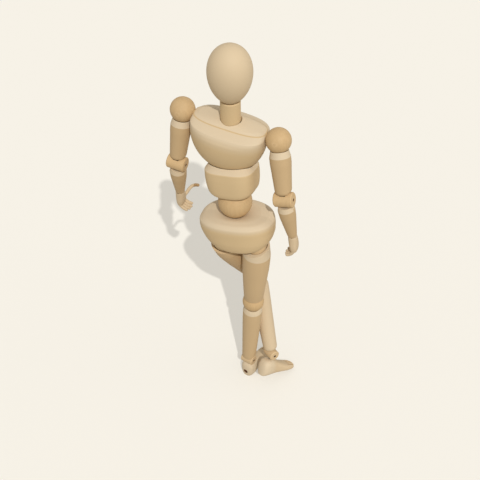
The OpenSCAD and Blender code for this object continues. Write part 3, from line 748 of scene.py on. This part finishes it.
# Chest. The top's rows have height, width share, depth share, fullness and share of the shoulders' slope
CHEST_EDGE = 7.1
CHEST_CREASE = 9.6
CHEST_TOP = [(1.5, 1, 0.99, 2.6, 0.3), (4.6, 1, 0.97, 2.8, 0.75), (CHEST_EDGE, 0.998, 0.92, 3, 1),
             (CHEST_CREASE, 0.97, 0.53, 2.9, 1), (10.7, 0.84, 0.46, 2.8, 1), (11.7, 0.46, 0.34, 2.5, 1),
             (11.9, 0.30, 0.28, 2.4, 1)]
CHEST_CREASES = (3, 4)
CHEST_SOFTNESS = (0.4, 5)
CHEST_FADE = 9
CREASE_HALF = 0.22
CREASE_SHADE = -0.12
BOWL_FROM = 4
BOWL_STEPS = 36
BOWL_FULLNESS = 0.5
BOWL_POWER = 6
COLLAR_OUT = 0.9
COLLAR_UP = 3
COLLAR_TOP = 8
COLLAR_WIDTH = 0.975


def chest_tone(x, y, z):
    """Painted highlight on the top that fades out down the back, with a line of painted shade at the
    crease.
    """
    level = z - y * CHEST_RISE
    if abs(level - CHEST_CREASE) < CREASE_HALF:
        return CREASE_SHADE
    return highlight_fade(level - CHEST_EDGE, CHEST_FADE)


def neck_hollow():
    """Seat of the neck's ball, opening to a collar."""
    socket = NECK_R + SEAT_GAP
    collar = socket + COLLAR_OUT
    outline = seat(socket, 0, socket, NECK_UP, False) + [(collar, NECK_UP + COLLAR_UP)]
    outline += [(collar, NECK_UP + COLLAR_TOP), (0, NECK_UP + COLLAR_TOP)]
    return lathe(outline, ROUND, lambda x, y, z: (COLLAR_WIDTH * x, y, z))


def make_chest(at):
    turns = [radians(BOWL_FROM + (90 - BOWL_FROM) * k / BOWL_STEPS) for k in range(BOWL_STEPS + 1)]
    fullness = [2 + BOWL_FULLNESS * (t / (pi / 2)) ** BOWL_POWER for t in turns]
    bowl = [(-CHEST_R * cos(t), sin(t), sin(t), f, 0, 0) for t, f in zip(turns, fullness)]
    top = [(z, w, d, f, 0, share * CHEST_RISE) for z, w, d, f, share in CHEST_TOP]
    rings = [oval_ring(z, w * CHEST_R, d * CHEST_D, f) for z, w, d, f, *_ in bowl[:-1]]
    rings += oval_stack(bowl[-1:] + top, (CHEST_R, CHEST_D), CHEST_SOFTNESS, CHEST_CREASES)
    chest = make_object("chest_block", skin(rings))
    cut(chest, neck_hollow())
    for sign in SIDES.values():
        cut(chest, ball_mesh(SHOULDER_R + SEAT_GAP, sign * SHOULDER_OUT, 0, SHOULDER_UP))
    settle(chest, at["chest"], "chest", trunk_wood, chest_tone)


# Neck and head
NECK_STEPS = 14
HEAD_STEPS = 64
RIM_SOFTNESS = (0.4, 2)
CHIN_ROUND = 0.4
HEAD_HIGHLIGHT = 0.65


def make_neck(at):
    top = HEAD_UP - CHIN_CUT - SEAT_GAP
    turns = [pi / 2 * k / NECK_STEPS for k in range(NECK_STEPS + 1)]
    ball = [(NECK_R * sin(t), -NECK_R * cos(t)) for t in turns]
    outline = soften(ball + [(NECK_R, top), (0, top)], RIM_SOFTNESS)
    neck = make_object("neck_post", lathe(thin(outline), ROUND))
    settle(neck, at["neck"], "neck", trunk_wood)


def make_head(at):
    turns = [pi / 2 - pi * k / HEAD_STEPS for k in range(HEAD_STEPS + 1)]
    egg = [(HEAD_R * cos(t) * (1 + HEAD_EGG * sin(t)), HEAD_H / 2 * sin(t)) for t in turns]
    egg = [(max(r, 0), z) for r, z in egg if z > -CHIN_CUT]
    egg[0] = (0, HEAD_H / 2)
    chin = [egg[-1], (egg[-1][0] - CHIN_ROUND, -CHIN_CUT), (0, -CHIN_CUT)]
    head = make_object("head_egg", lathe(egg + soften(chin, RIM_SOFTNESS)[1:], FULL))
    # Painted highlight over the whole head
    settle(head, at["head"], "head", trunk_wood, even_light_share(HEAD_HIGHLIGHT))


# Arms
ALONG_X = (1, 0, 0)
LIMB_SOFTNESS = (0.3, 6)
PIN_STEPS = 6
UPPER_ARM_RIM = -6.5
UPPER_ARM_BAND = UPPER_ARM_RIM - 4.5
UPPER_ARM_LOW = 4.6 - UPPER_ARM_LEN
UPPER_ARM_LOW_R = ELBOW_R + 0.45
UPPER_ARM_RIM_SHARE = 0.85
UPPER_ARM_BELLY = [(1, 0.38), (0.94, 0.5)]
UPPER_ARM_SEAT = 7
END_UP = 1.2
END_IN = 0.8
FOREARM_RIM = -4.8
FOREARM_BAND = FOREARM_RIM - 3.6
FOREARM_RIM_SHARE = 0.87
FOREARM_BELLY = [(0.94, 0.42)]
FOREARM_SOFTNESS = (0.25, 5)
FOREARM_SEAT = 6
CUFF_R = 1.22 * WRIST_R
CUFF_UP = 0.8
CUP_MOUTH = 1.14 * WRIST_R
CUP_STEPS = 6


def barrel_height(x, y, centre, way, radius, upper):
    """Height at which an upright line through x, y meets a barrel, or None where it passes by."""
    dx, dy = x - centre[0], y - centre[1]
    a = 1 - way[2] ** 2
    along = dx * way[0] + dy * way[1]
    b = -2 * along * way[2]
    c = dx * dx + dy * dy - along * along - radius * radius
    inside = b * b - 4 * a * c
    if inside < 0:
        return None
    root = sqrt(inside) / (2 * a)
    return centre[2] - b / (2 * a) + (root if upper else -root)


def barrel_seat(rim, reach, centre, way, radius, upper):
    """Pushes the end of a turned piece clear of the barrel that it rides on."""
    sign = 1 if upper else -1

    def bend(x, y, z):
        height = barrel_height(x, y, centre, way, radius, upper)
        push = 0 if height is None else max(0, sign * (height - rim))
        share = clamp(1 - sign * (z - rim) / reach)
        return x, y, z + sign * push * share * share * (3 - 2 * share)

    return bend


def make_shoulder_pin(at, side):
    """Pin through the shoulder ball, its ends plugged flush with the ball."""
    end = seat(SHOULDER_R, 0, PIN_R, 0, True, PIN_STEPS)
    outline = end + [(r, -z) for r, z in reversed(end)]
    name = side + "_shoulder_pin"
    pin = make_object(name + "_plugged", lathe(outline, ROUND))
    settle(pin, at[name], side + "_shoulder", barrel_wood, node=name)


def make_upper_arm(at, side):
    low, low_r = UPPER_ARM_LOW, UPPER_ARM_LOW_R
    socket = SHOULDER_R + SEAT_GAP
    mouth = sqrt(socket ** 2 - UPPER_ARM_RIM ** 2)
    wall = [(mouth, UPPER_ARM_RIM), (UPPER_ARM_RIM_SHARE * UPPER_ARM_R, UPPER_ARM_RIM),
            (UPPER_ARM_R, UPPER_ARM_BAND), *belly(UPPER_ARM_BELLY, UPPER_ARM_R, UPPER_ARM_LEN),
            (low_r, low + END_UP), (low_r - END_IN, low)]
    outline = seat(socket, 0, mouth, 0, False) + soften(wall, LIMB_SOFTNESS, (1, 2))[1:]
    outline += end_face(low_r - END_IN, low)
    elbow = (0, 0, -UPPER_ARM_LEN)
    bend = barrel_seat(low, UPPER_ARM_SEAT, elbow, ALONG_X, ELBOW_R + SEAT_GAP, True)
    name = side + "_upper_arm"
    arm = make_object(name + "_turned", lathe(thin(outline), ROUND, bend))
    # Painted highlight on the band at the arm's upper end
    settle(arm, at[name], name, shaded_arm_wood, highlight_above(UPPER_ARM_BAND))


def make_forearm(at, side):
    """Forearm whose lower end is a shallow cup about the wrist's middle."""
    low = -FOREARM_LEN + sqrt(WRIST_CUP ** 2 - CUP_MOUTH ** 2)
    rim_r = FOREARM_RIM_SHARE * FOREARM_R
    cap = [(rim_r * k / SEAT_STEPS, FOREARM_RIM) for k in range(SEAT_STEPS)]
    wall = [(rim_r, FOREARM_RIM), (FOREARM_R, FOREARM_BAND),
            *belly(FOREARM_BELLY, FOREARM_R, FOREARM_LEN), (CUFF_R, low + CUFF_UP), (CUP_MOUTH, low)]
    cup = seat(WRIST_CUP, CUP_MOUTH, 0, -FOREARM_LEN, True, CUP_STEPS)
    outline = cap + soften(wall, FOREARM_SOFTNESS, (1,)) + cup[1:]
    bend = barrel_seat(FOREARM_RIM, FOREARM_SEAT, (0, 0, 0), ALONG_X, ELBOW_R + SEAT_GAP, False)
    name = side + "_forearm"
    arm = make_object(name + "_turned", lathe(thin(outline), ROUND, bend))
    # Painted highlight on the band at the forearm's upper end
    settle(arm, at[name], name, shaded_arm_wood, highlight_above(FOREARM_BAND))


# Legs. The far leg has painted shade on its thigh, painted highlight all over its shin and no painted
# highlight bands
FAR_SIDE = "left"
FAR_LEG_LIGHT_AND_SHADE = {"thigh": -0.12, "shin": 0.7}
THIGH_LIP = 3.2
THIGH_BAND = -7.4
THIGH_LIP_SHARE = 0.86
THIGH_BELLY = [(1, 0.22), (0.97, 0.36), (0.86, 0.62)]
MOUTH_SLOPE = 17
MOUTH_PITCH = {"left": 0, "right": 15}
MOUTH_DROP = 0.5
MOUTH_CUT = 4 * THIGH_R
KNEE_SHOW = 6
SHIN_BAND = -KNEE_SHOW - 4.5
SHIN_RIM_SHARE = 0.84
SHIN_BELLY = [(0.97, 0.3), (0.87, 0.58)]
SHIN_LOW = 3.7 - SHIN_LEN
SHIN_END = [(0, 2.4), (-0.5, 0.7), (-1.5, 0)]
SHIN_SEAT = 5


# Painted light and shade all over the far leg's pieces; painted highlight bands on the near leg
def leg_tone(side, piece, edge):
    return even_light_share(FAR_LEG_LIGHT_AND_SHADE[piece]) if side == FAR_SIDE else highlight_above(edge)


def thigh_mouth(side):
    """Space above the thigh's sloping mouth."""
    room = bmesh.new()
    tilt = turn(MOUTH_PITCH[side], "X") @ turn(-SIDES[side] * MOUTH_SLOPE, "Y")
    lift = Matrix.Translation((0, 0, (MOUTH_CUT / 2 - MOUTH_DROP) * MM))
    bmesh.ops.create_cube(room, size=MOUTH_CUT * MM, matrix=tilt @ lift)
    return room


def make_thigh(at, side):
    low = -THIGH_LEN + KNEE_SHOW
    hip = HIP_R + SEAT_GAP
    knee = KNEE_R + SEAT_GAP
    knee_mouth = sqrt(knee ** 2 - KNEE_SHOW ** 2)
    wall = [(THIGH_LIP_SHARE * THIGH_R, THIGH_LIP), (THIGH_R, THIGH_BAND),
            *belly(THIGH_BELLY, THIGH_R, THIGH_LEN), (SHIN_R, low), (knee_mouth, low)]
    outline = seat(hip, 0, hip, 0, False) + [(hip, THIGH_LIP)] + soften(wall, LIMB_SOFTNESS, (1, 5))
    outline += seat(knee, knee_mouth, 0, -THIGH_LEN, True)[1:]
    name = side + "_thigh"
    thigh = make_object(name + "_turned", lathe(thin(outline), ROUND))
    cut(thigh, thigh_mouth(side))
    settle(thigh, at[name], name, leg_wood, leg_tone(side, "thigh", THIGH_BAND))


def make_shin(at, side):
    rim = -KNEE_SHOW
    knee = KNEE_R + SEAT_GAP
    mouth = sqrt(knee ** 2 - rim ** 2)
    end = [(SHIN_LOW_R + r, SHIN_LOW + z) for r, z in SHIN_END]
    wall = [(mouth, rim), (SHIN_RIM_SHARE * SHIN_R, rim), (SHIN_R, SHIN_BAND),
            *belly(SHIN_BELLY, SHIN_R, SHIN_LEN), *end]
    outline = seat(knee, 0, mouth, 0, False) + soften(wall, LIMB_SOFTNESS, (1, 2))[1:]
    outline += end_face(*end[-1])
    name = side + "_shin"
    way = at[name].to_3x3().inverted() @ axis(side + "_ankle_bend")
    bend = barrel_seat(SHIN_LOW, SHIN_SEAT, (0, 0, -SHIN_LEN), way, ANKLE_R + SEAT_GAP, True)
    shin = make_object(name + "_turned", lathe(thin(outline), ROUND, bend))
    settle(shin, at[name], name, leg_wood, leg_tone(side, "shin", SHIN_BAND))


# Hands. The palm's rows have height, half width, half depth and fullness
PALM_ROWS = [(-9.9, 4.2, 2.1, 2.6), (-7.9, 4.6, 2.7, 2.6), (-4.7, 4.4, 3.1, 2.5), (-1.7, 3.8, 3.2, 2.4),
             (1.3, 3.45, 3.25, 2.2), (2.75, 3.2, 3.1, 2)]
PALM_BACK = 0.5
PALM_SOFTNESS = (0.5, 4)
FINGER_LENGTHS = (9, 9.8, 9.4, 8)
FINGER_GAP = 2.15
FINGER_R = 1.2
FINGER_ROOT = -8.9
FINGER_FAN = 2
FINGER_START = 22
FINGER_CURL = 13
FINGER_STEPS = 6
FINGER_TAPER = 0.12
FINGER_COUNT = 20
FINGER_SOFTNESS = (0.35, 4)
THUMB = [(2.6, 1.2, -4.7), (5.6, 2, -4.2), (8.4, 2.6, -3.3), (10.8, 4, -2.3), (11.8, 6.2, -1.7),
         (11.9, 7.9, -1.4), (12, 9.5, -1.2)]
THUMB_R = 1.3
TIP_FROM = 5.4
TIP_OUT = 9
TIP_SHADE = -0.6
HAND_HIGHLIGHT = 0.6
HAND_VOXEL = 0.17
RUB_SHARE = 0.5
RUB_PASSES = 4
STEM_SWING = 31
STEM_GAP = 0.15
STEM_ENDS = (0.5 * WRIST_R, 1.2 * WRIST_CUP)
STEM_COUNT = 24


def stem_room():
    """Space in the hand's upper end through which the forearm's wrist stem swings."""
    room = bmesh.new()
    for swing in (-STEM_SWING, STEM_SWING):
        lean = turn(swing, "Y").to_3x3()
        for z in STEM_ENDS:
            for spot in circle_ring(WRIST_STEM_R + STEM_GAP, z, STEM_COUNT):
                room.verts.new(lean @ Vector(spot) * MM)
    hull = bmesh.ops.convex_hull(room, input=room.verts)
    bmesh.ops.delete(room, geom=hull["geom_interior"], context="VERTS")
    return room


def finger_path(lean_share, length):
    """Middle line of a finger that bends a little more at each step."""
    lean = radians(lean_share * FINGER_FAN)
    point = Vector((lean_share * FINGER_GAP, -PALM_BACK, FINGER_ROOT))
    path = [tuple(point)]
    for k in range(FINGER_STEPS):
        bend = radians(FINGER_START + FINGER_CURL * k)
        way = Vector((sin(lean), sin(bend) * cos(lean), -cos(bend) * cos(lean)))
        point = point + length / FINGER_STEPS * way
        path.append(tuple(point))
    return path


def tube_rings(path, radius, side):
    """Rings of a round bar along a path, tapering a little to a round tip."""
    path = [Vector(p) for p in soften(path, FINGER_SOFTNESS)]
    last = len(path) - 1
    length = sum((b - a).length for a, b in zip(path, path[1:]))
    rings = []
    for k, point in enumerate(path):
        way = (path[min(k + 1, last)] - path[max(k - 1, 0)]).normalized()
        across = side.cross(way).normalized()
        up = way.cross(across)
        tip = min(1, (last - k) / last * length / radius)
        size = radius * (1 - FINGER_TAPER * k / last) * sqrt(max(0, 1 - (1 - tip) ** 2))
        spokes = [cos(t) * across + sin(t) * up for t in angles(FINGER_COUNT)]
        rings.append([tuple(point + size * spoke) for spoke in spokes])
    return rings


def hand_tone(x, y, z):
    """Painted highlight over the hand, with painted shade on the tip of the thumb."""
    return TIP_SHADE if abs(x) > TIP_OUT and y > TIP_FROM else HAND_HIGHLIGHT


def make_hand(at, side):
    """Palm, fingers and thumb melted into one carved piece, with the wrist's room cut out."""
    rows = [(z, w, d, f, PALM_BACK * z / -PALM_ROWS[0][0]) for z, w, d, f in PALM_ROWS]
    stacks = [[oval_ring(*row) for row in soften(rows, PALM_SOFTNESS)]]
    middle = (len(FINGER_LENGTHS) - 1) / 2
    for k, length in enumerate(FINGER_LENGTHS):
        stacks.append(tube_rings(finger_path(middle - k, length), FINGER_R, Vector((1, 0, 0))))
    stacks.append(tube_rings(THUMB, THUMB_R, Vector((0, 0, 1))))
    whole = bmesh.new()
    for rings in stacks:
        part = skin([[(SIDES[side] * x, y, z) for x, y, z in ring] for ring in rings])
        data = bpy.data.meshes.new("part")
        part.to_mesh(data)
        part.free()
        whole.from_mesh(data)
        bpy.data.meshes.remove(data)
    bmesh.ops.recalc_face_normals(whole, faces=whole.faces)
    name = side + "_hand"
    hand = make_object(name + "_carved", whole)
    melt = hand.modifiers.new("melt", "REMESH")
    melt.mode = "VOXEL"
    melt.voxel_size = HAND_VOXEL * MM
    rub = hand.modifiers.new("rub", "SMOOTH")
    rub.factor = RUB_SHARE
    rub.iterations = RUB_PASSES
    bake(hand)
    cut(hand, ball_mesh(WRIST_R + SEAT_GAP))
    cut(hand, stem_room())
    settle(hand, at[name], name, shaded_arm_wood, hand_tone)


# Ankles and feet. The foot's rows have place along Y, half width and height, from the toes to the heel
ANKLE_EDGE = 0.6
ANKLE_BORE = 0.7
ANKLE_HIGHLIGHT = 0.35
BORE_SLACK = 0.01
FOOT_ROWS = [(27.75, 1.6, 1.9), (27.1, 3.1, 2.7), (25.6, 4.4, 3.4), (22.8, 5.4, 4), (18.9, 5.8, 5),
             (14.4, 5.4, 6.7), (10.4, 5.1, 8.8), (6.9, 5, 10.9), (3, 5.5, 13), (-1, 6.1, 14),
             (-3.8, 5.7, 13.5), (-5.6, 4.7, 11.6), (-6.4, 3.2, 9.2), (-6.75, 1.7, 6.8)]
FOOT_ENDS = (28, -6.9)
FOOT_FULLNESS = 2.7
FOOT_SOFTNESS = (0.4, 3)
FOOT_COUNT = 176
FOOT_HIGHLIGHT = 0.45
HEEL_FADE_FROM = 2
HEEL_FADE = 8
SOLE_CUT = 1
TOE_GROOVES = (-2.9, -0.95, 1.0, 2.95)
TOE_FROM = 19
TOE_FULL = 23.5
TOE_DEPTH = 1
TOE_WIDTH = 0.42
TOE_UP = 0.4
TOE_UP_REACH = 1.2
TOE_END_FROM = 25
TOE_END_REACH = 2
TOE_LINE_FROM = TOE_FROM + 1
TOE_LINE_UP = 0.6
TOE_LINE_SHADE = -0.6
HEEL_HOLE_SIDE = "right"
HEEL_HOLE_R = 1.9
HEEL_HOLE_UP = 5
HEEL_HOLE_FROM = -3.2
HEEL_HOLE_LEN = 8
HEEL_HOLE_COUNT = 40
HEEL_FLOOR_SLACK = 0.1
HEEL_WALL_SLACK = 0.001


def in_ankle_bore(x, y, z):
    return y * y + z * z < (PIN_HOLE_R + BORE_SLACK) ** 2


def make_ankle(at, side):
    """Barrel on the ankle's axis, with a bore for its pin in each end, the bores painted dark as shade
    and the barrel given a share of painted highlight all over.
    """
    half = ANKLE_W / 2
    depth = ANKLE_BORE * half
    wall = [(0, depth), (PIN_HOLE_R, depth), (PIN_HOLE_R, half), (ANKLE_R - ANKLE_EDGE, half),
            (ANKLE_R, half - ANKLE_EDGE)]
    name = side + "_ankle"
    barrel = make_object(name + "_barrel", lathe(wall + [(r, -z) for r, z in reversed(wall)], ROUND))
    barrel.data.transform(turn(90, "Y"))
    settle(barrel, at[name], name, barrel_wood, even_light_share(ANKLE_HIGHLIGHT), in_ankle_bore)


def foot_ring(y, half_w, height):
    flat = oval_ring(0, half_w, (height + SOLE_CUT) / 2, FOOT_FULLNESS, count=FOOT_COUNT)
    return [(x, y, max(0, (height - SOLE_CUT) / 2 + up) - FOOT_H) for x, up, _ in flat]


def foot_end(y, row):
    """Ring of no size that closes the foot beyond its last row."""
    return [(0, y, (row[2] - SOLE_CUT) / 2 - FOOT_H)] * FOOT_COUNT


def carve_toes(x, y, z):
    """Lowers the top of the foot along the lines between the toes."""
    if y < TOE_FROM:
        return x, y, z
    share = min(1, (y - TOE_FROM) / (TOE_FULL - TOE_FROM))
    top = clamp((z + FOOT_H - TOE_UP) / TOE_UP_REACH)
    depth = TOE_DEPTH * share * top * sum(exp(-((x - line) / TOE_WIDTH) ** 2) for line in TOE_GROOVES)
    return x, y - depth * clamp((y - TOE_END_FROM) / TOE_END_REACH), max(-FOOT_H, z - depth)


def heel_hole():
    """Bore into the heel from behind."""
    hole = bmesh.new()
    middle = Vector((0, HEEL_HOLE_FROM - HEEL_HOLE_LEN / 2, HEEL_HOLE_UP - FOOT_H))
    place = Matrix.Translation(middle * MM) @ turn(90, "X")
    radius = HEEL_HOLE_R * MM
    bmesh.ops.create_cone(hole, cap_ends=True, segments=HEEL_HOLE_COUNT, radius1=radius, radius2=radius,
                          depth=HEEL_HOLE_LEN * MM, matrix=place)
    return hole


def in_heel_hole(x, y, z):
    away = sqrt(x * x + (z + FOOT_H - HEEL_HOLE_UP) ** 2)
    return y < HEEL_HOLE_FROM + HEEL_FLOOR_SLACK and away < HEEL_HOLE_R - HEEL_WALL_SLACK


def foot_tone(x, y, z):
    """Painted highlight on the heel, less of it on the forefoot, and painted shade in the lines between
    the toes.
    """
    line = min(abs(x - groove) for groove in TOE_GROOVES)
    if y > TOE_LINE_FROM and line < TOE_WIDTH and z > TOE_LINE_UP - FOOT_H:
        return TOE_LINE_SHADE
    return min(1, max(FOOT_HIGHLIGHT, 1 - (y - HEEL_FADE_FROM) / HEEL_FADE))


def make_foot(at, side):
    """Foot with toe lines, and on one side the hole in its heel, whose inside is painted dark as shade.
    """
    toe_y, heel_y = FOOT_ENDS
    rings = [[carve_toes(*p) for p in foot_ring(*row)] for row in soften(FOOT_ROWS, FOOT_SOFTNESS)]
    rings = [foot_end(toe_y, FOOT_ROWS[0])] + rings + [foot_end(heel_y, FOOT_ROWS[-1])]
    name = side + "_foot"
    foot = make_object(name + "_carved", skin(rings))
    holed = side == HEEL_HOLE_SIDE
    if holed:
        cut(foot, heel_hole())
    settle(foot, at[name], name, leg_wood, foot_tone, in_heel_hole if holed else None)


# Nodes that are shown as they come
def dress_frame_nodes():
    """Carried-over balls, barrels and wire get their finish, the elbow barrels with painted shade inside
    their bores.
    """
    for name, node in frame["nodes"].items():
        if name.endswith("_pin"):
            finish = pin_steel
        elif name.endswith(("_spring", "_hook", "_peg")):
            finish = spring_steel
        elif name.endswith("_elbow"):
            joint = name + "_turn"
            # The bore's wall is painted dark as shade
            bore = (pivot(joint), axis(joint), BORE_SHADE_R)
            finish = make_wood(name + "_wood", BALL_COLOUR, BALL_CONTRAST, bore=bore)
        elif name.endswith("_wrist"):
            finish = wrist_wood
        elif name.endswith("_hip_ball"):
            finish = hip_wood
        else:
            finish = ball_wood
        node.data.materials.clear()
        node.data.materials.append(finish)
        node.data.shade_smooth()
        node.data.set_sharp_from_angle(angle=SMOOTH_ANGLE)


# The whole scene
make_camera()
make_light()
make_floor()
# Woods that take painted highlight and painted shade from a share on their points; the arms' wood is a
# darker copy as painted shade
trunk_wood = make_wood("trunk_wood", TRUNK_COLOUR, LIMB_CONTRAST, painted_light=HIGHLIGHT_COLOUR)
shaded_arm_wood = make_wood("shaded_arm_wood", ARM_SHADED_COLOUR, LIMB_CONTRAST, painted_light=HIGHLIGHT_COLOUR)
leg_wood = make_wood("leg_wood", LEG_COLOUR, LIMB_CONTRAST, painted_light=HIGHLIGHT_COLOUR)
barrel_wood = make_wood("barrel_wood", BALL_COLOUR, BALL_CONTRAST, painted_light=HIGHLIGHT_COLOUR)
wrist_wood = make_wood("wrist_wood", ARM_SHADED_COLOUR, LIMB_CONTRAST)
hip_wood = make_wood("hip_wood", LEG_COLOUR, BALL_CONTRAST)
ball_wood = make_wood("ball_wood", BALL_COLOUR, BALL_CONTRAST)
# Dark wood painted inside bores and holes as shade
bore_shade_wood = make_wood("bore_shade_wood", BORE_SHADE_COLOUR, BORE_CONTRAST)
spring_steel = make_steel("spring_steel", *SPRING_STEEL)
pin_steel = make_steel("pin_steel", *PIN_STEEL)
dress_frame_nodes()
frames = find_frames()
make_pelvis(frames)
make_abdomen(frames)
make_chest(frames)
make_neck(frames)
make_head(frames)
for side in SIDES:
    make_shoulder_pin(frames, side)
    make_upper_arm(frames, side)
    make_forearm(frames, side)
    make_hand(frames, side)
    make_thigh(frames, side)
    make_shin(frames, side)
    make_ankle(frames, side)
    make_foot(frames, side)
